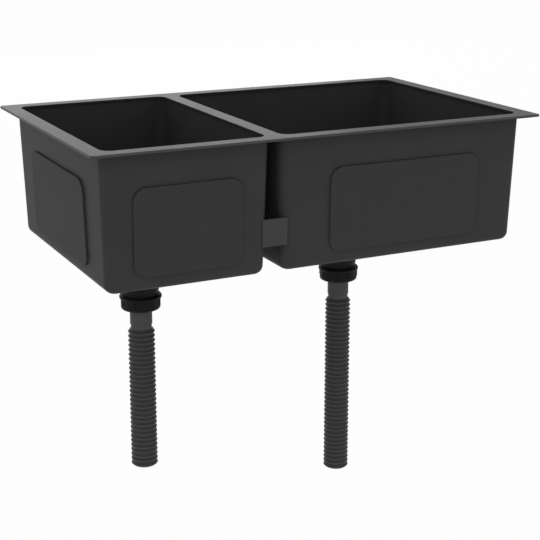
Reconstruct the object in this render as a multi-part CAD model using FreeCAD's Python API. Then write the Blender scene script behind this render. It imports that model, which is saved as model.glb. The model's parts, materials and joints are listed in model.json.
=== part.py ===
import FreeCAD, Part

import math
import os

# Double bowl kitchen sink, in millimetres.
# +X runs along the sink from the small bowl to the large one, -Y is the front and +Z is up.
# The origin is the centre of the rim's seat: z = 0 is the plane on which the rim lies on a worktop.
# "Depth" always means the distance below the top of the rim.

# ---- overall size and rim ----
LENGTH = 820.0
WIDTH = 500.0
RIM_THICKNESS = 4.0
SEAL_THICKNESS = 2.0
RIM_CORNER = 5.0
RIM_EDGE_ROUND = 0.8
SIDE_MARGIN = 28.0
END_MARGIN = 27.3
DIVIDER = 27.4
SMALL_OPENING = 275.7
OPENING_CORNER = 18.0
SEAL_SETBACK = 8.0
SEAL_WIDTH = 10.0
OVERCUT = 1.0

# ---- bowls ----
BOWL_DEPTH = 230.0
SHEET = 1.5
RIM_OVERHANG = 3.1
DRAFT = 0.028
WALL_CORNER = 18.0
FLOOR_ROUND = 15.0
FLOOR_FALL = 4.0
RECESS_RADIUS = 60.0
RECESS_DEPTH = 3.5
DRAIN_HOLE_RADIUS = 40.5

# ---- straps between the bowls ----
STRAP_TOP_DEPTH = 137.0
STRAP_HEIGHT = 46.0
STRAP_THICKNESS = 3.0
STRAP_SETBACK = 0.4
STRAP_REACH = 8.9
STRAP_CORNER = 0.5

# ---- sound pads ----
PAD_THICKNESS = 4.0
PAD_CORNER = 22.0
PAD_EDGE_ROUND = 1.0
PAD_TOP_DEPTH = 60.9
PAD_HEIGHT = 144.6
SMALL_PAD_LENGTH = 185.5
SMALL_PAD_SHIFT = -0.5
LARGE_PAD_LENGTH = 291.5
LARGE_PAD_SHIFT = 1.4
SIDE_PAD_LENGTH = 274.0
BOTTOM_PAD_HALF_WIDTH = 120.0
BOTTOM_PAD_GAP = 10.0
BOTTOM_PAD_MARGIN = 42.0

# ---- strainer, gaskets and waste body ----
FLANGE_RADIUS = 57.0
FLANGE_THICKNESS = 1.6
GASKET_THICKNESS = 1.5
GASKET_SETBACK = 1.0
CUP_TOP_RADIUS = 39.0
CUP_BOTTOM_RADIUS = 31.0
CUP_DEPTH = 279.0
CUP_WALL = 1.2
BOSS_RADIUS = 9.0
BOSS_HEIGHT = 7.0
GRID_RINGS = ((14.0, 8), (20.0, 12), (26.0, 16))
GRID_HOLE_RADIUS = 2.4
UNDER_GASKET_THICKNESS = 3.0
BODY_FLANGE_RADIUS = 56.0
BODY_FLANGE_THICKNESS = 5.0
FUNNEL_TOP_RADIUS = 44.0
FUNNEL_BOTTOM_RADIUS = 31.0
FUNNEL_BOTTOM_DEPTH = 303.5
BODY_WALL = 2.5
FLANGE_WEBS = 8
FLANGE_WEB_HEIGHT = 14.0
FLANGE_WEB_WIDTH = 2.4
FLANGE_WEB_SETBACK = 2.0
COLLAR_RING_RADIUS = 37.2
COLLAR_RING_DEPTH = 309.6
COLLAR_RING_HALF = 4.2
SPIGOT_RADIUS = 31.3
SPIGOT_END_DEPTH = 321.0
THROAT_RADIUS = 27.8
SPIDER_TOP_DEPTH = 289.0
SPIDER_HEIGHT = 10.0
SPIDER_WEB = 4.0
SPIDER_WEB_HEIGHT = 7.0
SPIDER_BITE = 1.5
INSERT_RADIUS = 5.0
SCREW_RADIUS = 3.0
SCREW_HEAD_RADIUS = 6.5
SCREW_HEAD_HEIGHT = 3.2
SCREW_HEAD_ROUND = 1.2
SCREW_TIP_DEPTH = 297.0
SCREW_TIP_CHAMFER = 1.0
SCREW_SLOT_WIDTH = 1.4
SCREW_SLOT_DEPTH = 1.2
SCREW_HOLE_GAP = 0.2
SCREW_SEAT_GAP = 0.3
SCREW_SEAT_DROP = 0.4
WASHER_THICKNESS = 3.0

# ---- coupling nut ----
NUT_TOP_DEPTH = 313.8
NUT_BOTTOM_DEPTH = 331.5
NUT_RADIUS = 34.7
NUT_BOTTOM_ROUND = 4.0
NUT_THREAD_RADIUS = 31.5
NUT_FLOOR = 5.0
NUT_HOLE_GAP = 0.6
NUT_LUGS = 8
NUT_LUG_RADIUS = 35.8
NUT_LUG_WIDTH = 5.0
NUT_LUG_END_DEPTH = 325.5
NUT_LUG_SLOPE = 2.0
NUT_LUG_START_DEG = 5.0

# ---- hose, its collar and its end cuff ----
COLLAR_FLANGE_RADIUS = 30.0
COLLAR_FLANGE_THICKNESS = 2.5
COLLAR_RADIUS = 19.6
COLLAR_END_DEPTH = 360.5
COLLAR_END_CHAMFER = 0.8
HOSE_NECK_RADIUS = 18.4
HOSE_BORE_RADIUS = 16.5
HOSE_START_DEPTH = 326.5
RIBS_START_DEPTH = 369.9
RIB_PITCH = 8.585
RIB_RADIUS = 23.65
RIB_ROOT_RADIUS = 21.2
RIB_BORE_RADIUS = 19.8
RIB_BORE_INSET = 2.0
RIB_CREST = 0.28
SMALL_HOSE_RIBS = 28
LARGE_HOSE_RIBS = 38
HOSE_TAIL = 13.0
CUFF_RADIUS = 23.0
CUFF_LENGTH = 14.5
CUFF_GAP = 1.5
CUFF_CHAMFER = 1.2

# ---- lift-out basket and its stopper ----
BASKET_LIP_RADIUS = 42.5
BASKET_LIP_THICKNESS = 1.2
BASKET_LIP_ROUND = 0.4
BASKET_TOP_RADIUS = 36.0
BASKET_BOTTOM_RADIUS = 28.5
BASKET_BOTTOM_DEPTH = 262.0
BASKET_WALL = 1.0
BASKET_SHOULDER = 1.0
BASKET_SLOTS = 20
BASKET_SLOT_WIDTH = 3.0
BASKET_SLOT_TOP = 241.0
BASKET_SLOT_BOTTOM = 256.0
BASKET_SLOT_START = 22.5
BASKET_SLOT_REACH = 20.0
BASKET_RINGS = ((12.5, 10), (18.0, 14), (23.5, 18))
BASKET_HOLE_RADIUS = 1.8
SLEEVE_RADIUS = 5.5
SLEEVE_TOP_DEPTH = 252.0
STEM_RADIUS = 3.0
STEM_CLEARANCE = 0.35
KNOB_RADIUS = 10.0
KNOB_TOP_DEPTH = 224.0
KNOB_HEIGHT = 9.0
KNOB_FLAT_RADIUS = 6.0
KNOB_BELLY_DEPTH = 4.0
KNOB_ROUND = 1.0
KNOB_SOCKET = 3.0
KNOB_NECK_RADIUS = 5.0
KNOB_NECK_HEIGHT = 6.0
STOPPER_RADIUS = 27.0
STOPPER_THICKNESS = 4.2
STOPPER_EDGE_ROUND = 1.6
STOPPER_UNDERCUT = 0.8
STOPPER_HUB_RADIUS = 8.0
STOPPER_HUB_HEIGHT = 2.5
REST_GAP = 0.3

# ---- places worked out from the driving dimensions ----
RIM_TOP = SEAL_THICKNESS + RIM_THICKNESS
FRONT = END_MARGIN - WIDTH / 2
BACK = WIDTH / 2 - END_MARGIN
SMALL_X0 = SIDE_MARGIN - LENGTH / 2
SMALL_X1 = SMALL_X0 + SMALL_OPENING
LARGE_X0 = SMALL_X1 + DIVIDER
LARGE_X1 = LENGTH / 2 - SIDE_MARGIN
SMALL_X = (SMALL_X0 + SMALL_X1) / 2
LARGE_X = (LARGE_X0 + LARGE_X1) / 2
ARC_INSET = 1 - math.sqrt(0.5)
DRAFT_ANGLE = math.degrees(math.atan(DRAFT))
FLOOR_DEPTH = BOWL_DEPTH - SHEET
SEAT_DEPTH = FLOOR_DEPTH + FLOOR_FALL + RECESS_DEPTH
SEAT_UNDERSIDE = SEAT_DEPTH + SHEET
FLANGE_UNDERSIDE = SEAT_DEPTH - GASKET_THICKNESS
FLANGE_TOP = FLANGE_UNDERSIDE - FLANGE_THICKNESS
BODY_TOP = SEAT_UNDERSIDE + UNDER_GASKET_THICKNESS
BODY_FLANGE_BOTTOM = BODY_TOP + BODY_FLANGE_THICKNESS
FUNNEL_DEPTH = FUNNEL_BOTTOM_DEPTH - BODY_FLANGE_BOTTOM
FUNNEL_SLOPE = (FUNNEL_TOP_RADIUS - FUNNEL_BOTTOM_RADIUS) / FUNNEL_DEPTH
SPIDER_BOTTOM_DEPTH = SPIDER_TOP_DEPTH + SPIDER_HEIGHT
OUTLET_FLARE = FUNNEL_SLOPE * (FUNNEL_BOTTOM_DEPTH - SPIDER_BOTTOM_DEPTH)
WASHER_BOTTOM = SPIGOT_END_DEPTH + WASHER_THICKNESS
SCREW_HEAD_TOP = CUP_DEPTH + SCREW_SEAT_DROP

BOWLS = (("small", SMALL_X0, SMALL_X1), ("large", LARGE_X0, LARGE_X1))
DRAINS = (("small", SMALL_X, SMALL_HOSE_RIBS), ("large", LARGE_X, LARGE_HOSE_RIBS))


def vec(x, y, z):
    return FreeCAD.Vector(x, y, z)


def height(depth):
    """The z of a depth below the top of the rim."""
    return RIM_TOP - depth


def save(shape, node):
    """Writes one sub-part, after a check that its solids are sound."""
    if not shape.isValid():
        raise RuntimeError(node + " is not a valid shape")
    shape.exportStep(os.path.join("parts", node + ".step"))
    print(f"{node:24s} solids {len(shape.Solids)}  volume {shape.Volume / 1000:.1f} cm3")


def rounded_wire(x0, x1, y0, y1, radius, z):
    """A rectangle with round corners, at one height."""
    k = radius * ARC_INSET
    straight = [
        (vec(x0 + radius, y0, z), vec(x1 - radius, y0, z)),
        (vec(x1, y0 + radius, z), vec(x1, y1 - radius, z)),
        (vec(x1 - radius, y1, z), vec(x0 + radius, y1, z)),
        (vec(x0, y1 - radius, z), vec(x0, y0 + radius, z)),
    ]
    middles = [vec(x1 - k, y0 + k, z), vec(x1 - k, y1 - k, z), vec(x0 + k, y1 - k, z), vec(x0 + k, y0 + k, z)]
    edges = []
    for i, (start, end) in enumerate(straight):
        edges.append(Part.LineSegment(start, end).toShape())
        following = straight[(i + 1) % 4][0]
        edges.append(Part.Arc(end, middles[i], following).toShape())
    return Part.Wire(edges)


def slab(x0, x1, y0, y1, radius, z0, z1):
    """A plate with round corners between two heights."""
    face = Part.Face(rounded_wire(x0, x1, y0, y1, radius, z0))
    return face.extrude(vec(0, 0, z1 - z0))


def cylinder(x, radius, depth0, depth1):
    """An upright cylinder on the line y = 0, between two depths."""
    return Part.makeCylinder(radius, depth1 - depth0, vec(x, 0, height(depth1)))


def lathe(x, outline):
    """Turns a closed outline of (radius, depth) points about the upright line at x.

    A point given as a pair of points is the middle and the end of an arc.
    """
    def place(point):
        return vec(x + point[0], 0, height(point[1]))

    edges = []
    start = place(outline[0])
    for item in list(outline[1:]) + [outline[0]]:
        if isinstance(item[0], tuple):
            middle, end = place(item[0]), place(item[1])
            edges.append(Part.Arc(start, middle, end).toShape())
        else:
            end = place(item)
            edges.append(Part.LineSegment(start, end).toShape())
        start = end
    face = Part.Face(Part.Wire(edges))
    return face.revolve(vec(x, 0, 0), vec(0, 0, 1), 360)


def ring_of_cylinders(x, rings, radius, depth0, depth1):
    """Upright cylinders on circles about the line at x, for the holes of a grid."""
    solids = []
    for circle, count in rings:
        for i in range(count):
            angle = 2 * math.pi * i / count
            centre = vec(x + circle * math.cos(angle), circle * math.sin(angle), height(depth1))
            solids.append(Part.makeCylinder(radius, depth1 - depth0, centre))
    return solids


def edges_at(shape, z, longer_than=0.0):
    """The edges of a shape that lie wholly at one height."""
    found = []
    for edge in shape.Edges:
        box = edge.BoundBox
        if abs(box.ZMin - z) < 1e-4 and abs(box.ZMax - z) < 1e-4 and edge.Length > longer_than:
            found.append(edge)
    return found


# ---- rim ----

def rim_frame():
    plate = slab(-LENGTH / 2, LENGTH / 2, -WIDTH / 2, WIDTH / 2, RIM_CORNER, SEAL_THICKNESS, RIM_TOP)
    for _, x0, x1 in BOWLS:
        hole = slab(x0, x1, FRONT, BACK, OPENING_CORNER, SEAL_THICKNESS - OVERCUT, RIM_TOP + OVERCUT)
        plate = plate.cut(hole)
    return plate.makeFillet(RIM_EDGE_ROUND, edges_at(plate, RIM_TOP))


def rim_seal_strip():
    def ring(setback, z0, z1):
        x = LENGTH / 2 - setback
        y = WIDTH / 2 - setback
        return slab(-x, x, -y, y, RIM_CORNER, z0, z1)

    outer = ring(SEAL_SETBACK, 0, SEAL_THICKNESS)
    return outer.cut(ring(SEAL_SETBACK + SEAL_WIDTH, -OVERCUT, SEAL_THICKNESS + OVERCUT))


# ---- bowls ----

def tapered_box(x0, x1, spread, depth, corner, bottom_round):
    """A box under the rim whose walls lean in as they go down, with a round foot.

    spread is how far its walls stand outside the opening at the top of the rim.
    """
    wires = []
    for level in (RIM_THICKNESS, depth):
        out = spread - DRAFT * level
        wires.append(rounded_wire(x0 - out, x1 + out, FRONT - out, BACK + out, corner, height(level)))
    box = Part.makeLoft(wires, True, True)
    return box.makeFillet(bottom_round, edges_at(box, height(depth)))


def floor_pyramid(x0, x1, spread, base_depth):
    """The four shallow falls of a bowl's floor, which meet in creases that run to the drain."""
    inset = FLOOR_ROUND - spread + DRAFT * BOWL_DEPTH
    z = height(base_depth)
    corners = [
        vec(x0 + inset, FRONT + inset, z),
        vec(x1 - inset, FRONT + inset, z),
        vec(x1 - inset, BACK - inset, z),
        vec(x0 + inset, BACK - inset, z),
    ]
    apex = vec((x0 + x1) / 2, 0, z - FLOOR_FALL)
    faces = [Part.Face(Part.makePolygon(corners + corners[:1]))]
    for i in range(4):
        faces.append(Part.Face(Part.makePolygon([corners[i], corners[(i + 1) % 4], apex, corners[i]])))
    return Part.makeSolid(Part.makeShell(faces))


def bowl_outside(x0, x1):
    """The closed outer form of a bowl, also used to trim what lies against it."""
    x = (x0 + x1) / 2
    spread = RIM_OVERHANG + SHEET
    box = tapered_box(x0, x1, spread, BOWL_DEPTH, WALL_CORNER, FLOOR_ROUND)
    boss = cylinder(x, RECESS_RADIUS + SHEET, BOWL_DEPTH - OVERCUT, SEAT_UNDERSIDE)
    return box.fuse([floor_pyramid(x0, x1, spread, BOWL_DEPTH), boss])


def bowl_inside(x0, x1):
    x = (x0 + x1) / 2
    box = tapered_box(x0, x1, RIM_OVERHANG, FLOOR_DEPTH, WALL_CORNER - SHEET, FLOOR_ROUND - SHEET)
    recess = cylinder(x, RECESS_RADIUS, FLOOR_DEPTH - OVERCUT, SEAT_DEPTH)
    return box.fuse([floor_pyramid(x0, x1, RIM_OVERHANG + SHEET, FLOOR_DEPTH), recess])


def bowl_shell(x0, x1):
    x = (x0 + x1) / 2
    shell = bowl_outside(x0, x1).cut(bowl_inside(x0, x1))
    return shell.cut(cylinder(x, DRAIN_HOLE_RADIUS, FLOOR_DEPTH, SEAT_UNDERSIDE + OVERCUT))


# ---- straps and pads on the outside of the bowls ----

def wall_plate(length, tall, thickness, corner, edge_round):
    """An upright plate whose back lies in the plane y = 0 and whose face looks to -Y.

    Its top edge is at z = 0 and its middle at x = 0.
    """
    face = Part.Face(rounded_wire(-length / 2, length / 2, -tall, 0, corner, 0))
    plate = face.extrude(vec(0, 0, thickness))
    if edge_round:
        plate = plate.makeFillet(edge_round, edges_at(plate, thickness))
    plate.rotate(vec(0, 0, 0), vec(1, 0, 0), 90)
    return plate


def lean_against_wall(plate, x, top_depth, setback, turn, centre_x, reach):
    """Leans a plate back with the wall's draft and turns it about the bowl's middle.

    reach is the distance from the turning point to the wall at the top of the rim.
    """
    slope = math.atan(DRAFT)
    plate.rotate(vec(0, 0, 0), vec(1, 0, 0), DRAFT_ANGLE)
    wall = reach - DRAFT * top_depth - setback / math.cos(slope)
    plate.translate(vec(x, -wall, height(top_depth)))
    plate.translate(vec(centre_x, 0, 0))
    plate.rotate(vec(centre_x, 0, 0), vec(0, 0, 1), turn)
    return plate


def wall_reach(half_opening):
    return half_opening + RIM_OVERHANG + SHEET


def bridge_strap(turn):
    middle = (SMALL_X1 + LARGE_X0) / 2
    length = DIVIDER + 2 * STRAP_REACH
    strap = wall_plate(length, STRAP_HEIGHT, STRAP_THICKNESS, STRAP_CORNER, 0)
    setback = STRAP_SETBACK + STRAP_THICKNESS
    strap = lean_against_wall(strap, 0, STRAP_TOP_DEPTH, setback, turn, middle, wall_reach(BACK))
    for _, x0, x1 in BOWLS:
        strap = strap.cut(bowl_outside(x0, x1))
    solids = sorted(strap.Solids, key=lambda solid: solid.Volume)
    return solids[-1]


def side_pad(length, shift, turn, centre_x, half_opening):
    pad = wall_plate(length, PAD_HEIGHT, PAD_THICKNESS, PAD_CORNER, PAD_EDGE_ROUND)
    return lean_against_wall(pad, shift, PAD_TOP_DEPTH, 0, turn, centre_x, wall_reach(half_opening))


def bottom_pads(x0, x1):
    """Two pads under a bowl, one on each side of its drain along the longer way."""
    x = (x0 + x1) / 2
    half_x = (x1 - x0) / 2 - BOTTOM_PAD_MARGIN
    half_y = BACK - BOTTOM_PAD_MARGIN
    keep_out = RECESS_RADIUS + BOTTOM_PAD_GAP
    low = height(BOWL_DEPTH + FLOOR_FALL / 2 + PAD_THICKNESS)
    high = height(BOWL_DEPTH - OVERCUT)
    if half_x > half_y:
        spans = [(x - half_x, x - keep_out, -BOTTOM_PAD_HALF_WIDTH, BOTTOM_PAD_HALF_WIDTH)]
        spans.append((x + keep_out, x + half_x, -BOTTOM_PAD_HALF_WIDTH, BOTTOM_PAD_HALF_WIDTH))
    else:
        spans = [(x - half_x, x + half_x, -half_y, -keep_out), (x - half_x, x + half_x, keep_out, half_y)]
    outside = bowl_outside(x0, x1)
    pads = [slab(a, b, c, d, PAD_CORNER, low, high).cut(outside) for a, b, c, d in spans]
    return Part.makeCompound([solid for pad in pads for solid in pad.Solids])


# ---- strainer and waste body ----

def flange_gasket(x):
    outer = cylinder(x, FLANGE_RADIUS - GASKET_SETBACK, FLANGE_UNDERSIDE, SEAT_DEPTH)
    return outer.cut(cylinder(x, DRAIN_HOLE_RADIUS, FLANGE_UNDERSIDE - OVERCUT, SEAT_DEPTH + OVERCUT))


def strainer_cup(x):
    """The flanged cup in the bowl's floor, with its grid and the boss that takes the screw."""
    lip = FLANGE_THICKNESS
    edge = lip * ARC_INSET
    inner_top = CUP_TOP_RADIUS - CUP_WALL
    inner_bottom = CUP_BOTTOM_RADIUS - CUP_WALL
    cup = lathe(x, [
        (0, CUP_DEPTH),
        (inner_bottom, CUP_DEPTH),
        (inner_top, FLANGE_TOP + lip),
        (inner_top + lip, FLANGE_TOP),
        (FLANGE_RADIUS - lip, FLANGE_TOP),
        ((FLANGE_RADIUS - edge, FLANGE_TOP + edge), (FLANGE_RADIUS, FLANGE_UNDERSIDE)),
        (CUP_TOP_RADIUS, FLANGE_UNDERSIDE),
        (CUP_BOTTOM_RADIUS, CUP_DEPTH + CUP_WALL),
        (BOSS_RADIUS, CUP_DEPTH + CUP_WALL),
        (BOSS_RADIUS, CUP_DEPTH + BOSS_HEIGHT),
        (0, CUP_DEPTH + BOSS_HEIGHT),
    ])
    above = CUP_DEPTH - OVERCUT
    cup = cup.cut(ring_of_cylinders(x, GRID_RINGS, GRID_HOLE_RADIUS, above, CUP_DEPTH + CUP_WALL + OVERCUT))
    cup = cup.cut(cylinder(x, SCREW_RADIUS + SCREW_HOLE_GAP, above, CUP_DEPTH + BOSS_HEIGHT + OVERCUT))
    return cup.cut(cylinder(x, SCREW_HEAD_RADIUS + SCREW_SEAT_GAP, above, SCREW_HEAD_TOP + SCREW_HEAD_HEIGHT))


def under_gasket(x):
    outer = cylinder(x, BODY_FLANGE_RADIUS - GASKET_SETBACK, SEAT_UNDERSIDE, BODY_TOP)
    hole = DRAIN_HOLE_RADIUS + GASKET_SETBACK
    return outer.cut(cylinder(x, hole, SEAT_UNDERSIDE - OVERCUT, BODY_TOP + OVERCUT))


def waste_body(x):
    """The plastic funnel under the bowl, down to the bottom of the spider in it."""
    mouth = FUNNEL_TOP_RADIUS - BODY_WALL
    body = lathe(x, [
        (mouth, BODY_TOP),
        (BODY_FLANGE_RADIUS, BODY_TOP),
        (BODY_FLANGE_RADIUS, BODY_FLANGE_BOTTOM),
        (FUNNEL_TOP_RADIUS, BODY_FLANGE_BOTTOM),
        (FUNNEL_BOTTOM_RADIUS + OUTLET_FLARE, SPIDER_BOTTOM_DEPTH),
        (THROAT_RADIUS + OUTLET_FLARE, SPIDER_BOTTOM_DEPTH),
        (THROAT_RADIUS + FUNNEL_SLOPE * FUNNEL_DEPTH, BODY_FLANGE_BOTTOM),
        (mouth, BODY_FLANGE_BOTTOM - OVERCUT),
    ])
    body = body.fuse(flange_webs(x))
    return body.fuse(spider(x)).removeSplitter()


def waste_outlet(x):
    """The foot of the funnel, with its ring and its threaded spigot."""
    ring_top = COLLAR_RING_DEPTH - COLLAR_RING_HALF
    ring_bottom = COLLAR_RING_DEPTH + COLLAR_RING_HALF
    ring_edge = COLLAR_RING_RADIUS - COLLAR_RING_HALF
    return lathe(x, [
        (THROAT_RADIUS + OUTLET_FLARE, SPIDER_BOTTOM_DEPTH),
        (FUNNEL_BOTTOM_RADIUS + OUTLET_FLARE, SPIDER_BOTTOM_DEPTH),
        (FUNNEL_BOTTOM_RADIUS, FUNNEL_BOTTOM_DEPTH),
        (FUNNEL_BOTTOM_RADIUS, ring_top),
        (ring_edge, ring_top),
        ((COLLAR_RING_RADIUS, COLLAR_RING_DEPTH), (ring_edge, ring_bottom)),
        (SPIGOT_RADIUS, ring_bottom),
        (SPIGOT_RADIUS, SPIGOT_END_DEPTH),
        (THROAT_RADIUS, SPIGOT_END_DEPTH),
        (THROAT_RADIUS, FUNNEL_BOTTOM_DEPTH),
    ])


def flange_webs(x):
    """Upright webs that stiffen the flange of the waste body."""
    webs = []
    high = height(BODY_FLANGE_BOTTOM - OVERCUT)
    low = height(BODY_FLANGE_BOTTOM + FLANGE_WEB_HEIGHT)
    root = FUNNEL_TOP_RADIUS - OVERCUT
    tip = BODY_FLANGE_RADIUS - FLANGE_WEB_SETBACK
    foot = root - FUNNEL_SLOPE * FLANGE_WEB_HEIGHT
    for i in range(FLANGE_WEBS):
        corners = [vec(root, 0, high), vec(tip, 0, high), vec(tip, 0, high - OVERCUT), vec(foot, 0, low)]
        web = Part.Face(Part.makePolygon(corners + corners[:1])).extrude(vec(0, FLANGE_WEB_WIDTH, 0))
        web.translate(vec(0, -FLANGE_WEB_WIDTH / 2, 0))
        web.rotate(vec(0, 0, 0), vec(0, 0, 1), 360 * i / FLANGE_WEBS)
        web.translate(vec(x, 0, 0))
        webs.append(web)
    return webs


def spider(x):
    """The cross in the throat that holds the threaded insert."""
    hub = cylinder(x, INSERT_RADIUS + BODY_WALL, SPIDER_TOP_DEPTH, SPIDER_BOTTOM_DEPTH)
    reach = THROAT_RADIUS + SPIDER_BITE
    for turn in (0, 90):
        corner = vec(-reach, -SPIDER_WEB / 2, height(SPIDER_BOTTOM_DEPTH))
        web = Part.makeBox(2 * reach, SPIDER_WEB, SPIDER_WEB_HEIGHT, corner)
        web.rotate(vec(0, 0, 0), vec(0, 0, 1), turn)
        web.translate(vec(x, 0, 0))
        hub = hub.fuse(web)
    return hub.cut(cylinder(x, INSERT_RADIUS, SPIDER_TOP_DEPTH - OVERCUT, SPIDER_BOTTOM_DEPTH + OVERCUT))


def clamp_insert(x):
    sleeve = cylinder(x, INSERT_RADIUS, SPIDER_TOP_DEPTH, SPIDER_BOTTOM_DEPTH)
    return sleeve.cut(cylinder(x, SCREW_RADIUS, SPIDER_TOP_DEPTH - OVERCUT, SPIDER_BOTTOM_DEPTH + OVERCUT))


def clamp_screw(x):
    """The screw that pulls the waste body up against the strainer cup."""
    edge = SCREW_HEAD_ROUND * ARC_INSET
    rounded_to = SCREW_HEAD_TOP + SCREW_HEAD_ROUND
    head_bottom = SCREW_HEAD_TOP + SCREW_HEAD_HEIGHT
    screw = lathe(x, [
        (0, SCREW_HEAD_TOP),
        (SCREW_HEAD_RADIUS - SCREW_HEAD_ROUND, SCREW_HEAD_TOP),
        ((SCREW_HEAD_RADIUS - edge, SCREW_HEAD_TOP + edge), (SCREW_HEAD_RADIUS, rounded_to)),
        (SCREW_HEAD_RADIUS, head_bottom),
        (SCREW_RADIUS, head_bottom),
        (SCREW_RADIUS, SCREW_TIP_DEPTH - SCREW_TIP_CHAMFER),
        (SCREW_RADIUS - SCREW_TIP_CHAMFER, SCREW_TIP_DEPTH),
        (0, SCREW_TIP_DEPTH),
    ])
    corner = vec(x - SCREW_HEAD_RADIUS, -SCREW_SLOT_WIDTH / 2, height(SCREW_HEAD_TOP + SCREW_SLOT_DEPTH))
    slot = Part.makeBox(2 * SCREW_HEAD_RADIUS, SCREW_SLOT_WIDTH, SCREW_SLOT_DEPTH + OVERCUT, corner)
    return screw.cut(slot)


def coupling_nut(x):
    """The nut that holds the hose's collar against the waste body."""
    inner_floor = NUT_BOTTOM_DEPTH - NUT_FLOOR
    bend = NUT_BOTTOM_ROUND * ARC_INSET
    hole = COLLAR_RADIUS + NUT_HOLE_GAP
    nut = lathe(x, [
        (NUT_THREAD_RADIUS, NUT_TOP_DEPTH),
        (NUT_RADIUS, NUT_TOP_DEPTH),
        (NUT_RADIUS, NUT_BOTTOM_DEPTH - NUT_BOTTOM_ROUND),
        ((NUT_RADIUS - bend, NUT_BOTTOM_DEPTH - bend), (NUT_RADIUS - NUT_BOTTOM_ROUND, NUT_BOTTOM_DEPTH)),
        (hole, NUT_BOTTOM_DEPTH),
        (hole, inner_floor),
        (NUT_THREAD_RADIUS, inner_floor),
    ])
    for i in range(NUT_LUGS):
        nut = nut.fuse(nut_lug(x, NUT_LUG_START_DEG + 360 * i / NUT_LUGS))
    return nut


def nut_lug(x, turn):
    """One grip rib on the side of the coupling nut, with its lower end sloped."""
    root = NUT_RADIUS - OVERCUT
    corners = [
        vec(root, 0, height(NUT_TOP_DEPTH)),
        vec(NUT_LUG_RADIUS, 0, height(NUT_TOP_DEPTH)),
        vec(NUT_LUG_RADIUS, 0, height(NUT_LUG_END_DEPTH - NUT_LUG_SLOPE)),
        vec(root, 0, height(NUT_LUG_END_DEPTH)),
    ]
    lug = Part.Face(Part.makePolygon(corners + corners[:1])).extrude(vec(0, NUT_LUG_WIDTH, 0))
    lug.translate(vec(0, -NUT_LUG_WIDTH / 2, 0))
    lug.rotate(vec(0, 0, 0), vec(0, 0, 1), turn)
    lug.translate(vec(x, 0, 0))
    return lug


def sealing_washer(x):
    outer = cylinder(x, COLLAR_FLANGE_RADIUS, SPIGOT_END_DEPTH, WASHER_BOTTOM)
    hole = HOSE_BORE_RADIUS + GASKET_SETBACK
    return outer.cut(cylinder(x, hole, SPIGOT_END_DEPTH - OVERCUT, WASHER_BOTTOM + OVERCUT))


# ---- hose ----

def hose_collar(x):
    """The smooth sleeve above the hose: a flange inside the nut and a socket for the hose's neck."""
    chamfer = COLLAR_END_CHAMFER
    flange_bottom = WASHER_BOTTOM + COLLAR_FLANGE_THICKNESS
    return lathe(x, [
        (HOSE_BORE_RADIUS, WASHER_BOTTOM),
        (COLLAR_FLANGE_RADIUS, WASHER_BOTTOM),
        (COLLAR_FLANGE_RADIUS, flange_bottom),
        (COLLAR_RADIUS, flange_bottom),
        (COLLAR_RADIUS, COLLAR_END_DEPTH - chamfer),
        (COLLAR_RADIUS - chamfer, COLLAR_END_DEPTH),
        (HOSE_NECK_RADIUS, COLLAR_END_DEPTH),
        (HOSE_NECK_RADIUS, HOSE_START_DEPTH),
        (HOSE_BORE_RADIUS, HOSE_START_DEPTH),
    ])


def hose_ribs_end(count):
    return RIBS_START_DEPTH + count * RIB_PITCH


def hose_end(count):
    return hose_ribs_end(count) + HOSE_TAIL


def ribbed_loft(x, count):
    """The ribbed outside of the hose: a ruled loft through four circles for each rib."""
    flank = RIB_PITCH * (1 - RIB_CREST) / 2
    crest = RIB_PITCH * RIB_CREST
    circles = []
    for i in range(count):
        top = RIBS_START_DEPTH + i * RIB_PITCH
        gap = flank / 3
        levels = ((gap, RIB_ROOT_RADIUS), (flank, RIB_RADIUS), (flank + crest, RIB_RADIUS))
        levels += ((RIB_PITCH - gap, RIB_ROOT_RADIUS),)
        for offset, radius in levels:
            circle = Part.Circle(vec(x, 0, height(top + offset)), vec(0, 0, 1), radius)
            circle.XAxis = vec(1, 0, 0)
            circles.append(Part.Wire([circle.toShape()]))
    return Part.makeLoft(circles, True, True)


def waste_hose(x, count):
    """The ring-ribbed hose, hanging straight down from its collar."""
    first = RIBS_START_DEPTH + RIB_PITCH * (1 - RIB_CREST) / 6
    last = hose_ribs_end(count) - RIB_PITCH * (1 - RIB_CREST) / 6
    neck = cylinder(x, HOSE_NECK_RADIUS, HOSE_START_DEPTH, first)
    tail = cylinder(x, HOSE_NECK_RADIUS, last, hose_end(count))
    hose = ribbed_loft(x, count).fuse([neck, tail])
    bore = cylinder(x, HOSE_BORE_RADIUS, HOSE_START_DEPTH - OVERCUT, hose_end(count) + OVERCUT)
    wide_bore = cylinder(x, RIB_BORE_RADIUS, first + RIB_BORE_INSET, last - RIB_BORE_INSET)
    hose = hose.cut(bore.fuse(wide_bore))
    print(f"hose of {count} ribs: length {hose_end(count) - HOSE_START_DEPTH:.1f} mm, straight, "
          f"bore {2 * HOSE_BORE_RADIUS:.1f} mm, groove {RIB_PITCH * (1 - RIB_CREST):.2f} mm at the crests")
    return hose


def hose_end_cuff(x, count):
    """The smooth cuff on the free end of the hose, which pushes into a waste pipe."""
    top = hose_ribs_end(count) + CUFF_GAP
    bottom = top + CUFF_LENGTH
    return lathe(x, [
        (HOSE_NECK_RADIUS, top),
        (CUFF_RADIUS - CUFF_CHAMFER, top),
        (CUFF_RADIUS, top + CUFF_CHAMFER),
        (CUFF_RADIUS, bottom - CUFF_CHAMFER),
        (CUFF_RADIUS - CUFF_CHAMFER, bottom),
        (HOSE_BORE_RADIUS, bottom),
        (HOSE_BORE_RADIUS, hose_end(count)),
        (HOSE_NECK_RADIUS, hose_end(count)),
    ])


# ---- basket and stopper ----

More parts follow.
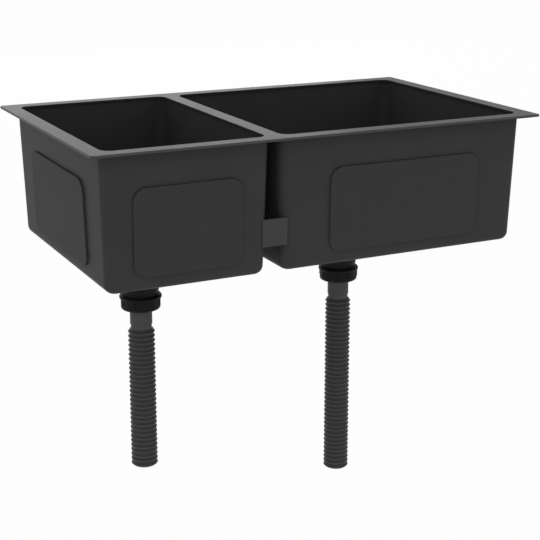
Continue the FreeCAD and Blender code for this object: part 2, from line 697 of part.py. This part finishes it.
def basket(x):
    """The perforated cup that lifts out of the strainer."""
    lip_bottom = FLANGE_TOP - REST_GAP
    lip_top = lip_bottom - BASKET_LIP_THICKNESS
    wall = BASKET_WALL
    inside = BASKET_BOTTOM_DEPTH - wall
    cup = lathe(x, [
        (SLEEVE_RADIUS, inside),
        (BASKET_BOTTOM_RADIUS - wall, inside),
        (BASKET_TOP_RADIUS - wall, lip_bottom),
        (BASKET_TOP_RADIUS, lip_top),
        (BASKET_LIP_RADIUS - BASKET_LIP_ROUND, lip_top),
        ((BASKET_LIP_RADIUS, (lip_top + lip_bottom) / 2), (BASKET_LIP_RADIUS - BASKET_LIP_ROUND, lip_bottom)),
        (BASKET_TOP_RADIUS + BASKET_SHOULDER, lip_bottom),
        (BASKET_BOTTOM_RADIUS, BASKET_BOTTOM_DEPTH),
        (STEM_RADIUS + STEM_CLEARANCE, BASKET_BOTTOM_DEPTH),
        (STEM_RADIUS + STEM_CLEARANCE, SLEEVE_TOP_DEPTH),
        (SLEEVE_RADIUS, SLEEVE_TOP_DEPTH),
    ])
    low = BASKET_BOTTOM_DEPTH + OVERCUT
    holes = ring_of_cylinders(x, BASKET_RINGS, BASKET_HOLE_RADIUS, inside - OVERCUT, low)
    for i in range(BASKET_SLOTS):
        holes.append(basket_slot(x, 360 * i / BASKET_SLOTS))
    return cup.cut(holes)


def basket_slot(x, turn):
    """One upright slot with round ends through the basket's wall."""
    radius = BASKET_SLOT_WIDTH / 2
    top = BASKET_SLOT_TOP + radius
    bottom = BASKET_SLOT_BOTTOM - radius
    slot = Part.makeBox(BASKET_SLOT_REACH, BASKET_SLOT_WIDTH, bottom - top, vec(0, -radius, height(bottom)))
    for depth in (top, bottom):
        slot = slot.fuse(Part.makeCylinder(radius, BASKET_SLOT_REACH, vec(0, 0, height(depth)), vec(1, 0, 0)))
    slot.translate(vec(BASKET_SLOT_START, 0, 0))
    slot.rotate(vec(0, 0, 0), vec(0, 0, 1), turn)
    slot.translate(vec(x, 0, 0))
    return slot


def stopper_disc(x):
    """The rubber disc that closes the grid when the knob is pushed down."""
    bottom = CUP_DEPTH - REST_GAP
    top = bottom - STOPPER_THICKNESS
    edge = STOPPER_EDGE_ROUND * ARC_INSET
    return lathe(x, [
        (STEM_RADIUS, top - STOPPER_HUB_HEIGHT),
        (STOPPER_HUB_RADIUS, top - STOPPER_HUB_HEIGHT),
        (STOPPER_HUB_RADIUS, top),
        (STOPPER_RADIUS - STOPPER_EDGE_ROUND, top),
        ((STOPPER_RADIUS - edge, top + edge), (STOPPER_RADIUS, top + STOPPER_EDGE_ROUND)),
        (STOPPER_RADIUS - STOPPER_UNDERCUT, bottom),
        (STEM_RADIUS, bottom),
    ])


def stopper_stem(x):
    return cylinder(x, STEM_RADIUS, KNOB_TOP_DEPTH + KNOB_SOCKET, CUP_DEPTH - REST_GAP)


def stopper_knob(x):
    """The knob by which the stopper is pulled up and the basket lifted out."""
    belly = KNOB_TOP_DEPTH + KNOB_BELLY_DEPTH
    shoulder = KNOB_TOP_DEPTH + KNOB_HEIGHT
    edge = KNOB_RADIUS - KNOB_ROUND
    return lathe(x, [
        (0, KNOB_TOP_DEPTH),
        (KNOB_FLAT_RADIUS, KNOB_TOP_DEPTH),
        ((edge, (KNOB_TOP_DEPTH + belly) / 2 - KNOB_ROUND / 2), (KNOB_RADIUS, belly)),
        ((edge, (belly + shoulder) / 2 + KNOB_ROUND / 2), (KNOB_NECK_RADIUS, shoulder)),
        (KNOB_NECK_RADIUS, shoulder + KNOB_NECK_HEIGHT),
        (STEM_RADIUS, shoulder + KNOB_NECK_HEIGHT),
        (STEM_RADIUS, KNOB_TOP_DEPTH + KNOB_SOCKET),
        (0, KNOB_TOP_DEPTH + KNOB_SOCKET),
    ])


# ---- the whole sink ----

def build_bowls():
    for name, x0, x1 in BOWLS:
        x = (x0 + x1) / 2
        half = (x1 - x0) / 2
        small = name == "small"
        length = SMALL_PAD_LENGTH if small else LARGE_PAD_LENGTH
        shift = SMALL_PAD_SHIFT if small else LARGE_PAD_SHIFT
        side, turn = ("left", -90) if small else ("right", 90)
        save(bowl_shell(x0, x1), name + "_bowl_shell")
        save(side_pad(length, shift, 0, x, BACK), name + "_pad_front")
        save(side_pad(length, 0, 180, x, BACK), name + "_pad_rear")
        save(side_pad(SIDE_PAD_LENGTH, 0, turn, x, half), name + "_pad_" + side)
        save(bottom_pads(x0, x1), name + "_pad_bottom")


def build_drains():
    for name, x, ribs in DRAINS:
        save(flange_gasket(x), name + "_flange_gasket")
        save(strainer_cup(x), name + "_strainer_cup")
        save(under_gasket(x), name + "_under_gasket")
        save(waste_body(x), name + "_waste_body")
        save(waste_outlet(x), name + "_waste_outlet")
        save(clamp_insert(x), name + "_clamp_insert")
        save(clamp_screw(x), name + "_clamp_screw")
        save(coupling_nut(x), name + "_coupling_nut")
        save(sealing_washer(x), name + "_sealing_washer")
        save(hose_collar(x), name + "_hose_collar")
        save(waste_hose(x, ribs), name + "_waste_hose")
        save(hose_end_cuff(x, ribs), name + "_hose_end_cuff")
        save(basket(x), name + "_basket")
        save(stopper_stem(x), name + "_stopper_stem")
        save(stopper_knob(x), name + "_stopper_knob")
        save(stopper_disc(x), name + "_stopper_disc")


def main():
    os.makedirs("parts", exist_ok=True)
    save(rim_frame(), "rim_frame")
    save(rim_seal_strip(), "rim_seal_strip")
    build_bowls()
    save(bridge_strap(0), "bridge_strap_front")
    save(bridge_strap(180), "bridge_strap_rear")
    build_drains()


main()
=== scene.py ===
import json
import math

import bpy
from mathutils import Matrix, Vector


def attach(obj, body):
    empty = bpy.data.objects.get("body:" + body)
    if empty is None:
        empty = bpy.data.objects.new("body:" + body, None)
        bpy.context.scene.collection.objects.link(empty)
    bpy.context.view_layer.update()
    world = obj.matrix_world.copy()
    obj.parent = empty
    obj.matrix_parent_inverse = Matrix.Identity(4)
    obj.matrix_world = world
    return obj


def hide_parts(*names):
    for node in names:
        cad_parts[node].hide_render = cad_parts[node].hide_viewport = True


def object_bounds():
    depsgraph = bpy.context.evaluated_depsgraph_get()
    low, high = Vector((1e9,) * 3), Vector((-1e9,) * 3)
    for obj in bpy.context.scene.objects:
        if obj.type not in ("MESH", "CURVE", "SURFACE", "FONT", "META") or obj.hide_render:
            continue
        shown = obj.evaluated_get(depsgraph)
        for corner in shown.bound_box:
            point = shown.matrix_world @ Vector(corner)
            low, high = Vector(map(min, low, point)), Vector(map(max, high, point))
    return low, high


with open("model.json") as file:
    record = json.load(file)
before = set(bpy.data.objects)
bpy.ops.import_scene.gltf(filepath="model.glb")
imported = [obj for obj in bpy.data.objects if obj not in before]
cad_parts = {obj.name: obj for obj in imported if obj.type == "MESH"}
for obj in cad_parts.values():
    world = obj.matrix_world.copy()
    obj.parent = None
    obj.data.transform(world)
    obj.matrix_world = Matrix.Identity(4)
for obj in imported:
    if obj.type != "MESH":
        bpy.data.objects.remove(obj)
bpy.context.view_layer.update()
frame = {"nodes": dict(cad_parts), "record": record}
bpy.context.scene.view_settings.view_transform = "Standard"

# ---- the photograph's camera, solved from the rim, the bowls and the hoses ----
IMAGE_SIZE = 540
FOCAL_PIXELS = 1318.97
CENTRE_X_PIXELS = 278.45
CENTRE_Y_PIXELS = 225.50
CAMERA_PLACE = (-1.01937, -2.07135, 0.40141)
CAMERA_TURN = -0.46723
CAMERA_PITCH = 0.25702
CAMERA_ROLL = 0.00203
SENSOR = 36.0

# ---- bowls and rim: sizes of part.py, in metres ----
SMALL_X = -0.24415
LARGE_X = 0.15155
DIVIDER_X = -0.0926
BOWL_MIDDLE_Z = -0.11
RIM_TOP = 0.006
RIM_HALF_LENGTH = 0.410
RIM_HALF_WIDTH = 0.250
RIM_CORNER = 0.005

# ---- hoses: sizes of part.py, in metres ----
HOSE_START = RIM_TOP - 0.3265
RIBS_START = RIM_TOP - 0.3699
RIB_PITCH = 0.008585
SMALL_RIBS = 28
LARGE_RIBS = 38
HOSE_TAIL = 0.013
RIB_RADIUS = 0.02365
GROOVE_RADIUS = 0.02100
CREST_SHARE = 0.34
NECK_RADIUS = 0.0184
NECK_FLARE = 0.0012
BORE_RADIUS = 0.0165
CUFF_GAP = 0.0015
CUFF_LENGTH = 0.0145
CUFF_CLEARANCE = 0.0001
CUFF_EASE = 0.0004
HOSE_SEGMENTS = 96
RIB_STEPS = 16
SHARP_ANGLE = 50

# ---- finishes: noise scales per metre, reliefs and pitches in metres ----
COAT_GRAIN_SCALE = 900.0
COAT_PATCH_SCALE = 9.0
COAT_RELIEF = 0.00003
# fade of the painted highlight on the rim's cut edge
RIM_EDGE_FADE = (0.0006, 0.0001)
HATCH_PITCH = 0.0050
HATCH_RELIEF = 0.00030
SPECK_SCALE = 420.0
LEVEL_FACE = 0.7
# depths over which the hoses' painted groove shade and painted crest highlight fade in; the neck fade sets
# where the neck turns to the highlight tone
GROOVE_SHADE_DEPTH = 0.0006
CREST_HIGHLIGHT_DEPTH = 0.0003
NECK_FADE = (-0.0002, 0.0006)
SKIN_SCALE = 1500.0
SKIN_RELIEF = 0.00002
CLOUD_SCALE = 30.0
LATHE_SCALE = 700.0
LATHE_RELIEF = 0.00001

# ---- studio ----
FLOOR_DROP = 0.45
FLOOR_HALF = 30.0
FLOOR_PAINT = 0.95
FLOOR_SHOWN_WHITE = 0.97
ROOM_LIGHT = 0.60
PANEL_X = 2.15
PANEL_Y = 10.0
PANEL_Z = 1.4
PANEL_WIDTH = 7.3
PANEL_HEIGHT = 2.2
PANEL_RADIANCE = 1.40


def place_camera():
    data = bpy.data.cameras.new("photo_camera")
    data.sensor_width = SENSOR
    data.lens = FOCAL_PIXELS * SENSOR / IMAGE_SIZE
    data.shift_x = (IMAGE_SIZE / 2 - CENTRE_X_PIXELS) / IMAGE_SIZE
    data.shift_y = (CENTRE_Y_PIXELS - IMAGE_SIZE / 2) / IMAGE_SIZE
    camera = bpy.data.objects.new("photo_camera", data)
    camera.location = CAMERA_PLACE
    tilt = Matrix.Rotation(math.pi / 2 - CAMERA_PITCH, 3, "X") @ Matrix.Rotation(CAMERA_ROLL, 3, "Z")
    camera.rotation_euler = (Matrix.Rotation(CAMERA_TURN, 3, "Z") @ tilt).to_euler()
    bpy.context.scene.collection.objects.link(camera)
    bpy.context.scene.camera = camera


# ---- node helpers ----

class Nodes:
    """Short names for building one node tree."""

    def __init__(self, tree):
        self.tree = tree
        tree.nodes.clear()

    def add(self, kind, settings=None, **inputs):
        node = self.tree.nodes.new(kind)
        for name, value in (settings or {}).items():
            setattr(node, name, value)
        for name, value in inputs.items():
            self.feed(node.inputs[name.replace("_", " ")], value)
        return node

    def feed(self, socket, value):
        if isinstance(value, bpy.types.NodeSocket):
            self.tree.links.new(value, socket)
        elif hasattr(value, "outputs"):
            self.tree.links.new(value.outputs[0], socket)
        else:
            socket.default_value = value

    def work_out(self, kind, operation, values):
        node = self.add(kind, {"operation": operation})
        for socket, value in zip(node.inputs, values):
            self.feed(socket, value)
        return node

    def math(self, operation, *values):
        return self.work_out("ShaderNodeMath", operation, values)

    def vector_math(self, operation, *values):
        return self.work_out("ShaderNodeVectorMath", operation, values)

    def noise(self, place, scale, detail):
        return self.add("ShaderNodeTexNoise", Vector=place, Scale=scale, Detail=detail).outputs[0]

    def ramp(self, value, low, high, to_low, to_high):
        """Maps low..high to to_low..to_high, held at both ends."""
        node = self.add("ShaderNodeMapRange", Value=value)
        limits = {"From Min": low, "From Max": high, "To Min": to_low, "To Max": to_high}
        for name, item in limits.items():
            self.feed(node.inputs[name], item)
        return node

    def around(self, share, middle, reach):
        """A value that strays from the middle by up to the reach, with a noise's share."""
        return self.ramp(share, 0.3, 0.7, middle - reach, middle + reach)

    def mix_colour(self, share, first, second):
        node = self.add("ShaderNodeMix", {"data_type": "RGBA"}, Factor=share)
        colours = [socket for socket in node.inputs if socket.type == "RGBA"]
        self.feed(colours[0], first)
        self.feed(colours[1], second)
        return next(socket for socket in node.outputs if socket.type == "RGBA")

    def shades(self, share, level, dark, light):
        """A grey that runs from dark to light times the level."""
        return self.mix_colour(share, grey(level * dark), grey(level * light))


def grey(level):
    return (level, level, level, 1.0)


def new_material(name):
    material = bpy.data.materials.new(name)
    material.use_nodes = True
    nodes = Nodes(material.node_tree)
    return material, nodes, nodes.add("ShaderNodeTexCoord").outputs["Object"]


def close_material(nodes, colour, roughness, height, relief, **constants):
    """Ends a node tree in one Principled shader, with a bump of that relief in metres."""
    shader = nodes.add("ShaderNodeBsdfPrincipled")
    nodes.feed(shader.inputs["Base Color"], colour)
    nodes.feed(shader.inputs["Roughness"], roughness)
    for name, value in constants.items():
        shader.inputs[name.replace("_", " ")].default_value = value
    bump = nodes.add("ShaderNodeBump", Height=height, Distance=relief, Strength=1.0)
    nodes.feed(shader.inputs["Normal"], bump)
    nodes.add("ShaderNodeOutputMaterial", Surface=shader.outputs[0])


def coat_texture(nodes, place, roughness):
    """A sprayed coat's fine grain, its faint soft patches from 0 to 1, and its roughness."""
    grain = nodes.noise(place, COAT_GRAIN_SCALE, 2.0)
    patches = nodes.noise(place, COAT_PATCH_SCALE, 3.0)
    share = nodes.math("MULTIPLY_ADD", grain, 0.5, nodes.math("MULTIPLY", patches, 0.5))
    return grain, nodes.ramp(share, 0.35, 0.65, 0.0, 1.0), nodes.around(share, roughness, 0.03)


def coat_shades(nodes, patches, level):
    return nodes.shades(patches, level, 0.93, 1.07)


def coated_steel(name, level, roughness, specular):
    """Sheet steel under a satin black coat."""
    material, nodes, place = new_material(name)
    grain, patches, rough = coat_texture(nodes, place, roughness)
    colour = coat_shades(nodes, patches, level)
    close_material(nodes, colour, rough, grain, COAT_RELIEF, Specular_IOR_Level=specular)
    return material


def inside_bowl(nodes, place):
    """1 on the bowls' inner faces, whose normals point to their bowl's middle, and 0 outside."""
    parts = nodes.add("ShaderNodeSeparateXYZ", Vector=place)
    normal = nodes.add("ShaderNodeTexCoord").outputs["Normal"]
    in_large = nodes.math("GREATER_THAN", parts.outputs["X"], DIVIDER_X)
    middle_x = nodes.math("MULTIPLY_ADD", in_large, LARGE_X - SMALL_X, SMALL_X)
    middle = nodes.add("ShaderNodeCombineXYZ", X=middle_x, Y=0.0, Z=BOWL_MIDDLE_Z)
    outward = nodes.vector_math("SUBTRACT", place, middle)
    along = nodes.vector_math("DOT_PRODUCT", outward, normal)
    return nodes.math("LESS_THAN", along.outputs["Value"], 0.0)


def bowl_steel(name, level, inner_shade_level, roughness, specular):
    """The bowls' black coat, with painted shade on their inner faces: a darker copy of the coat inside the
    bowls.
    """
    material, nodes, place = new_material(name)
    grain, patches, rough = coat_texture(nodes, place, roughness)
    outer = coat_shades(nodes, patches, level)
    inner = coat_shades(nodes, patches, inner_shade_level)
    # painted shade: the bowls' inner faces take the darker copy of the coat, standing in for the shade
    # inside the bowls
    colour = nodes.mix_colour(inside_bowl(nodes, place), outer, inner)
    close_material(nodes, colour, rough, grain, COAT_RELIEF, Specular_IOR_Level=specular)
    return material


def rim_edge(nodes, place):
    """1 on the cut edge all round the rim, its corners included, and 0 on its faces."""
    parts = nodes.add("ShaderNodeSeparateXYZ", Vector=place)
    squares = []
    for axis, half in (("X", RIM_HALF_LENGTH), ("Y", RIM_HALF_WIDTH)):
        past = nodes.math("SUBTRACT", nodes.math("ABSOLUTE", parts.outputs[axis]), half - RIM_CORNER)
        held = nodes.math("MAXIMUM", past, 0.0)
        squares.append(nodes.math("MULTIPLY", held, held))
    from_corner = nodes.math("SQRT", nodes.math("ADD", *squares))
    start, end = (RIM_CORNER - fade for fade in RIM_EDGE_FADE)
    return nodes.ramp(from_corner, start, end, 0.0, 1.0)


def rim_steel(name, level, edge_highlight_level, roughness, specular):
    """The rim's black coat, with a painted highlight: paler on the cut edge."""
    material, nodes, place = new_material(name)
    grain, patches, rough = coat_texture(nodes, place, roughness)
    face = coat_shades(nodes, patches, level)
    # painted highlight: the rim's cut edge takes a paler grey than the coat's face
    colour = nodes.mix_colour(rim_edge(nodes, place), face, grey(edge_highlight_level))
    close_material(nodes, colour, rough, grain, COAT_RELIEF, Specular_IOR_Level=specular)
    return material


def hatch_directions(nodes, place):
    """Distances along two crossing diagonals of whichever face the point is on."""
    parts = nodes.add("ShaderNodeSeparateXYZ", Vector=place)
    normal = nodes.add("ShaderNodeSeparateXYZ", Vector=nodes.add("ShaderNodeTexCoord").outputs["Normal"])
    across = nodes.math("ADD", parts.outputs["X"], parts.outputs["Y"])
    rising = nodes.math("ADD", across, parts.outputs["Z"])
    falling = nodes.math("SUBTRACT", across, parts.outputs["Z"])
    level_face = nodes.math("GREATER_THAN", nodes.math("ABSOLUTE", normal.outputs["Z"]), LEVEL_FACE)
    turn = nodes.math("MULTIPLY", level_face, parts.outputs["Y"])
    return rising, nodes.math("MULTIPLY_ADD", turn, -2.0, falling)


def crosshatched_rubber(name, level, specular):
    """Sound-deadening sheet: two sets of fine raised diagonal lines."""
    material, nodes, place = new_material(name)
    waves = []
    for distance in hatch_directions(nodes, place):
        waves.append(nodes.math("SINE", nodes.math("MULTIPLY", distance, math.tau / HATCH_PITCH)))
    weave = nodes.math("MAXIMUM", *waves)
    speck = nodes.noise(place, SPECK_SCALE, 3.0)
    height = nodes.math("MULTIPLY_ADD", speck, 0.6, weave)
    colour = nodes.shades(nodes.ramp(height, -0.4, 1.4, 0.0, 1.0), level, 0.56, 1.40)
    rough = nodes.ramp(speck, 0.3, 0.7, 0.55, 0.68)
    close_material(nodes, colour, rough, height, HATCH_RELIEF, Specular_IOR_Level=specular)
    return material


def moulded_plastic(name, level, roughness, specular):
    """Moulded plastic or rubber with a fine spark-eroded skin."""
    material, nodes, place = new_material(name)
    skin = nodes.noise(place, SKIN_SCALE, 2.0)
    cloud = nodes.noise(place, CLOUD_SCALE, 2.0)
    colour = nodes.shades(cloud, level, 0.92, 1.08)
    rough = nodes.around(cloud, roughness, 0.04)
    close_material(nodes, colour, rough, skin, SKIN_RELIEF, Specular_IOR_Level=specular)
    return material


def ribbed_plastic(name, level, groove_shade_level, roughness, specular):
    """The hoses' plastic, with a painted highlight on the crests of the ribs and on the neck, and painted
    shade in the grooves.
    """
    material, nodes, place = new_material(name)
    parts = nodes.add("ShaderNodeSeparateXYZ", Vector=place)
    x, y, z = (parts.outputs[axis] for axis in "XYZ")
    from_middle = nodes.math("ABSOLUTE", nodes.math("SUBTRACT", x, (SMALL_X + LARGE_X) / 2))
    across = nodes.math("SUBTRACT", from_middle, (LARGE_X - SMALL_X) / 2)
    square = nodes.math("MULTIPLY_ADD", across, across, nodes.math("MULTIPLY", y, y))
    radius = nodes.math("SQRT", square)
    # painted shade in the grooves and painted highlight on the crests, set by the distance from the hose's
    # axis
    crest_highlight = nodes.ramp(radius, GROOVE_RADIUS + GROOVE_SHADE_DEPTH, RIB_RADIUS - CREST_HIGHLIGHT_DEPTH, 0.0, 1.0)
    # the neck above the first rib takes the painted highlight's tone instead of the grooves' painted shade
    neck_highlight = nodes.ramp(z, RIBS_START + NECK_FADE[0], RIBS_START + NECK_FADE[1], 0.0, 1.0)
    crest = nodes.math("MAXIMUM", crest_highlight, neck_highlight)
    skin = nodes.noise(place, SKIN_SCALE, 2.0)
    colour = nodes.mix_colour(crest, grey(groove_shade_level), grey(level))
    rough = nodes.around(skin, roughness, 0.04)
    close_material(nodes, colour, rough, skin, SKIN_RELIEF, Specular_IOR_Level=specular)
    return material


def turned_metal(name, colour, roughness):
    """Bare metal with the fine marks left by turning."""
    material, nodes, place = new_material(name)
    lines = nodes.noise(place, LATHE_SCALE, 1.0)
    shaded = tuple(c * 0.85 for c in colour)
    tint = nodes.mix_colour(lines, shaded + (1.0,), colour + (1.0,))
    close_material(nodes, tint, nodes.around(lines, roughness, 0.06), lines, LATHE_RELIEF, Metallic=1.0)
    return material


def slot_finishes():
    """One material for each of the record's material slots."""
    return {
        # the bowls' inner faces carry painted shade through the inner level
        "black_steel": bowl_steel("satin_black_steel", level=0.0625, inner_shade_level=0.052, roughness=0.42,
                                  specular=0.02),
        "black_steel_fittings": coated_steel("satin_black_fittings", level=0.045, roughness=0.34,
                                             specular=0.25),
        "sound_pad": crosshatched_rubber("crosshatched_pad", level=0.056, specular=0.06),
        "seal_rubber": moulded_plastic("seal_rubber", level=0.016, roughness=0.62, specular=0.2),
        "black_plastic": moulded_plastic("black_plastic", level=0.012, roughness=0.50, specular=0.10),
        "grey_plastic": moulded_plastic("grey_collar_plastic", level=0.102, roughness=0.45, specular=0.06),
        # the hoses' grooves carry painted shade and their crests a painted highlight
        "hose_plastic": ribbed_plastic("grey_hose_plastic", level=0.108, groove_shade_level=0.060, roughness=0.45,
                                       specular=0.06),
        "brass": turned_metal("brass", colour=(0.62, 0.44, 0.19), roughness=0.30),
        "steel": turned_metal("polished_steel", colour=(0.55, 0.55, 0.56), roughness=0.22),
    }


def paint_nodes(finishes):
    """Gives every CAD node its slot's material, and the rim and the straps their own."""
    for part in frame["record"]["subparts"]:
        data = frame["nodes"][part["node"]].data
        data.materials.clear()
        data.materials.append(finishes[part["material_slot"]])
    # the rim's cut edge carries a painted highlight through its edge level
    rim = rim_steel("satin_black_rim", level=0.034, edge_highlight_level=0.092, roughness=0.34, specular=0.045)
    strap = coated_steel("brushed_black_strap", level=0.081, roughness=0.42, specular=0.05)
    own = {"rim_frame": rim, "bridge_strap_front": strap, "bridge_strap_rear": strap}
    for node, material in own.items():
        frame["nodes"][node].data.materials[0] = material


# ---- hoses ----

def route_points(x, end):
    """The hose's line, read from a NURBS spline through its route's three points."""
    curve = bpy.data.curves.new("route", "CURVE")
    curve.dimensions = "3D"
    curve.resolution_u = 24
    spline = curve.splines.new("NURBS")
    spline.points.add(2)
    for point, z in zip(spline.points, (HOSE_START, (HOSE_START + end) / 2, end)):
        point.co = (x, 0, z, 1)
    spline.order_u = 3
    spline.use_endpoint_u = True
    holder = bpy.data.objects.new("route", curve)
    mesh = bpy.data.meshes.new_from_object(holder)
    points = [vertex.co.copy() for vertex in mesh.vertices]
    bpy.data.objects.remove(holder)
    bpy.data.meshes.remove(mesh)
    bpy.data.curves.remove(curve)
    return points


def rib_radius(phase):
    """The hose's outside radius within one rib: a narrow round crest between wide grooves."""
    reach = min(abs(phase - 0.5) / (0.5 - CREST_SHARE / 2), 1.0)
    crest = 0.5 + 0.5 * math.cos(math.pi * reach)
    return GROOVE_RADIUS + (RIB_RADIUS - GROOVE_RADIUS) * crest


def rib_profile(first, start, end):
    """(distance, radius) pairs over the ribs between two distances, the first rib starting at first."""
    steps = int((end - start) / RIB_PITCH * RIB_STEPS) + 1
    profile = []
    for i in range(steps + 1):
        distance = start + (end - start) * i / steps
        profile.append((distance, rib_radius((distance - first) / RIB_PITCH % 1.0)))
    return profile


def hose_profile(ribs, length):
    """(distance from the hose's start, radius) pairs round the section: down the outside, up the bore."""
    first = HOSE_START - RIBS_START
    last = first + ribs * RIB_PITCH
    seam = last + CUFF_GAP - CUFF_CLEARANCE
    profile = [(0.0, NECK_RADIUS), (first - NECK_FLARE, NECK_RADIUS)]
    profile += rib_profile(first, first, last)
    profile += [(seam, GROOVE_RADIUS), (seam, NECK_RADIUS), (length, NECK_RADIUS)]
    return profile + [(length, BORE_RADIUS), (0.0, BORE_RADIUS)]


def cuff_profile(ribs, length):
    """The same for the cuff on the hose's end: two more rings, a plain lip and a stop for the hose."""
    first = HOSE_START - RIBS_START
    top = first + ribs * RIB_PITCH + CUFF_GAP
    bottom = top + CUFF_LENGTH
    stop = length + CUFF_CLEARANCE
    socket = NECK_RADIUS + CUFF_CLEARANCE
    profile = [(top, GROOVE_RADIUS - CUFF_EASE)]
    profile += rib_profile(first, top + CUFF_EASE, bottom - CUFF_EASE)
    profile += [(bottom, GROOVE_RADIUS - CUFF_EASE), (bottom, BORE_RADIUS + CUFF_EASE)]
    profile += [(bottom - CUFF_EASE, BORE_RADIUS), (stop, BORE_RADIUS), (stop, socket), (top, socket)]
    return profile


def at_length(points, distance):
    """The point that far along a line of points, from its first one."""
    for start, end in zip(points, points[1:]):
        step = (end - start).length
        if distance <= step:
            return start.lerp(end, distance / step)
        distance -= step
    return points[-1].copy()


def ring_of_points(centre, radius):
    ring = []
    for k in range(HOSE_SEGMENTS):
        angle = math.tau * k / HOSE_SEGMENTS
        ring.append(centre + Vector((radius * math.cos(angle), radius * math.sin(angle), 0)))
    return ring


def faces_between(first, second):
    """Quads between two rings of points, given by the number of each ring's first point."""
    faces = []
    for k in range(HOSE_SEGMENTS):
        n = (k + 1) % HOSE_SEGMENTS
        faces.append((first + k, second + k, second + n, first + n))
    return faces


def turned_piece(name, points, profile, material):
    """The closed profile turned about the line of points, riding on the sink."""
    vertices = []
    faces = []
    for i, (distance, radius) in enumerate(profile):
        vertices += ring_of_points(at_length(points, distance), radius)
        following = (i + 1) % len(profile)
        faces += faces_between(i * HOSE_SEGMENTS, following * HOSE_SEGMENTS)
    mesh = bpy.data.meshes.new(name)
    mesh.from_pydata(vertices, [], faces)
    mesh.validate()
    mesh.shade_smooth()
    mesh.set_sharp_from_angle(angle=math.radians(SHARP_ANGLE))
    mesh.materials.append(material)
    piece = bpy.data.objects.new(name, mesh)
    bpy.context.scene.collection.objects.link(piece)
    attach(piece, "sink")
    return piece


def add_hoses(material):
    for side, x, ribs in (("small", SMALL_X, SMALL_RIBS), ("large", LARGE_X, LARGE_RIBS)):
        end = RIBS_START - ribs * RIB_PITCH - HOSE_TAIL
        length = HOSE_START - end
        points = route_points(x, end)
        hose = turned_piece(side + "_ribbed_hose", points, hose_profile(ribs, length), material)
        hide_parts(side + "_waste_hose")
        longer_line = points + [Vector((x, 0, end - HOSE_TAIL))]
        cuff = turned_piece(side + "_ringed_cuff", longer_line, cuff_profile(ribs, length), material)
        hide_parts(side + "_hose_end_cuff")


# ---- floor, world and lamps ----

def shown_ray(nodes):
    """1 for the rays that show the surroundings: camera, glossy and transmission rays."""
    ray = nodes.add("ShaderNodeLightPath")
    seen = nodes.math("MAXIMUM", ray.outputs["Is Camera Ray"], ray.outputs["Is Glossy Ray"])
    return nodes.math("MAXIMUM", seen, ray.outputs["Is Transmission Ray"])


def white_floor():
    """A pale floor that looks white to the camera and keeps a faint shadow."""
    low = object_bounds()[0].z - FLOOR_DROP
    mesh = bpy.data.meshes.new("floor")
    corners = [(x * FLOOR_HALF, y * FLOOR_HALF, low) for x, y in ((-1, -1), (1, -1), (1, 1), (-1, 1))]
    mesh.from_pydata(corners, [], [(0, 1, 2, 3)])
    floor = bpy.data.objects.new("floor", mesh)
    bpy.context.scene.collection.objects.link(floor)
    material = bpy.data.materials.new("pale_floor")
    material.use_nodes = True
    nodes = Nodes(material.node_tree)
    share = nodes.math("MULTIPLY", shown_ray(nodes), FLOOR_SHOWN_WHITE)
    paint = nodes.add("ShaderNodeBsdfDiffuse", Color=grey(FLOOR_PAINT))
    white = nodes.add("ShaderNodeEmission", Color=grey(1.0), Strength=1.0)
    seen = nodes.add("ShaderNodeMixShader")
    for socket, value in zip(seen.inputs, (share, paint, white)):
        nodes.feed(socket, value)
    nodes.add("ShaderNodeOutputMaterial", Surface=seen.outputs[0])
    mesh.materials.append(material)


def studio_world():
    """A plain soft room that is white to the camera."""
    world = bpy.data.worlds.new("studio")
    world.use_nodes = True
    bpy.context.scene.world = world
    nodes = Nodes(world.node_tree)
    strength = nodes.math("MAXIMUM", shown_ray(nodes), ROOM_LIGHT)
    background = nodes.add("ShaderNodeBackground", Color=grey(1.0))
    nodes.feed(background.inputs["Strength"], strength)
    nodes.add("ShaderNodeOutputWorld", Surface=background.outputs[0])


def back_softbox():
    """One long low softbox far behind, mirrored in the rim's left half. A radiance of 1 looks white."""
    data = bpy.data.lights.new("back_softbox", "AREA")
    data.shape = "RECTANGLE"
    data.size = PANEL_WIDTH
    data.size_y = PANEL_HEIGHT
    data.energy = PANEL_RADIANCE * math.pi * PANEL_WIDTH * PANEL_HEIGHT
    lamp = bpy.data.objects.new("back_softbox", data)
    lamp.location = (PANEL_X, PANEL_Y, PANEL_Z)
    lamp.rotation_euler = Vector((0, -PANEL_Y, 0)).to_track_quat("-Z", "Y").to_euler()
    bpy.context.scene.collection.objects.link(lamp)


place_camera()
finishes = slot_finishes()
paint_nodes(finishes)
add_hoses(finishes["hose_plastic"])
studio_world()
white_floor()
back_softbox()
